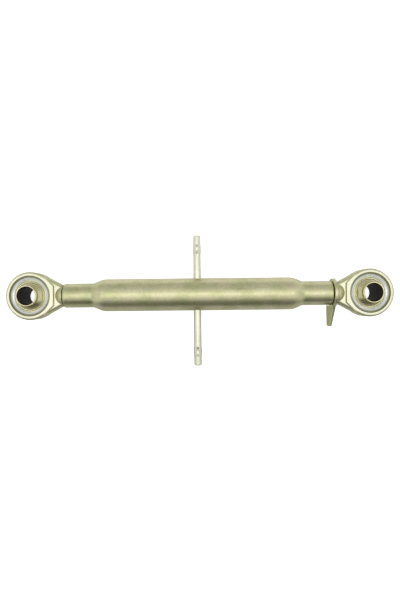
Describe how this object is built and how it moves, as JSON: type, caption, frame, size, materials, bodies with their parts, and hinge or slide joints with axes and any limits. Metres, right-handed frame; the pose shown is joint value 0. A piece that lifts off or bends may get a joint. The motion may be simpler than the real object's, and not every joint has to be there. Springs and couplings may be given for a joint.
{
  "type": "tractor top link",
  "caption": "Adjustable three-point-hitch top link: swaged screw barrel, forged swivel-ball eyes, lever lock nut and sliding tommy bar.",
  "frame": {"origin": "centre of the left ball's pin bore, with the link screwed right in", "axes": "+X along the link to the right ball; +Z along the pin bores, up from the surface that the link lies on; +Y along the tommy bar"},
  "size_m": [0.5562, 0.1888, 0.051],
  "materials": {
    "barrel_plating": "yellow zinc plated steel tube, satin",
    "bar_plating": "pale yellow zinc plated drawn bar",
    "nut_plating": "yellow zinc plated forging",
    "eye_plating": "yellow zinc plated forging, satin",
    "race_steel": "bright machined steel",
    "ball_plating": "yellow zinc plated, smooth"
  },
  "bodies": {
    "barrel": {"barrel": "barrel_plating"},
    "tommy_bar": {"tommy_bar": "bar_plating"},
    "lock_nut": {"lock_nut": "nut_plating"},
    "left_eye": {"left_eye": "eye_plating", "left_race_upper": "race_steel", "left_race_lower": "race_steel"},
    "left_ball": {"left_ball": "ball_plating"},
    "right_eye": {"right_eye": "eye_plating", "right_race_upper": "race_steel", "right_race_lower": "race_steel"},
    "right_ball": {"right_ball": "ball_plating"}
  },
  "joints": [
    {"name": "left_screw", "type": "slide", "parent": "barrel", "child": "left_eye", "axis": [-1, 0, 0], "range_m": [0, 0.11]},
    {"name": "right_screw", "type": "slide", "parent": "barrel", "child": "right_eye", "axis": [1, 0, 0], "range_m": [0, 0.11]},
    {"name": "lock_nut_turn", "type": "hinge", "parent": "barrel", "child": "lock_nut", "pos_m": [0.4371, 0, 0], "axis": [1, 0, 0], "continuous": true},
    {"name": "tommy_bar_slide", "type": "slide", "parent": "barrel", "child": "tommy_bar", "axis": [0, 1, 0], "range_m": [-0.0338, 0.0516]},
    {"name": "left_ball_swivel", "type": "hinge", "parent": "left_eye", "child": "left_ball", "pos_m": [0, 0, 0], "axis": [0, 1, 0], "range_deg": [-20, 20]},
    {"name": "right_ball_swivel", "type": "hinge", "parent": "right_eye", "child": "right_ball", "pos_m": [0.487, 0, 0], "axis": [0, 1, 0], "range_deg": [-20, 20]}
  ],
  "couplings": [
    {"joint": "right_screw", "follows": "left_screw", "ratio": 1}
  ]
}
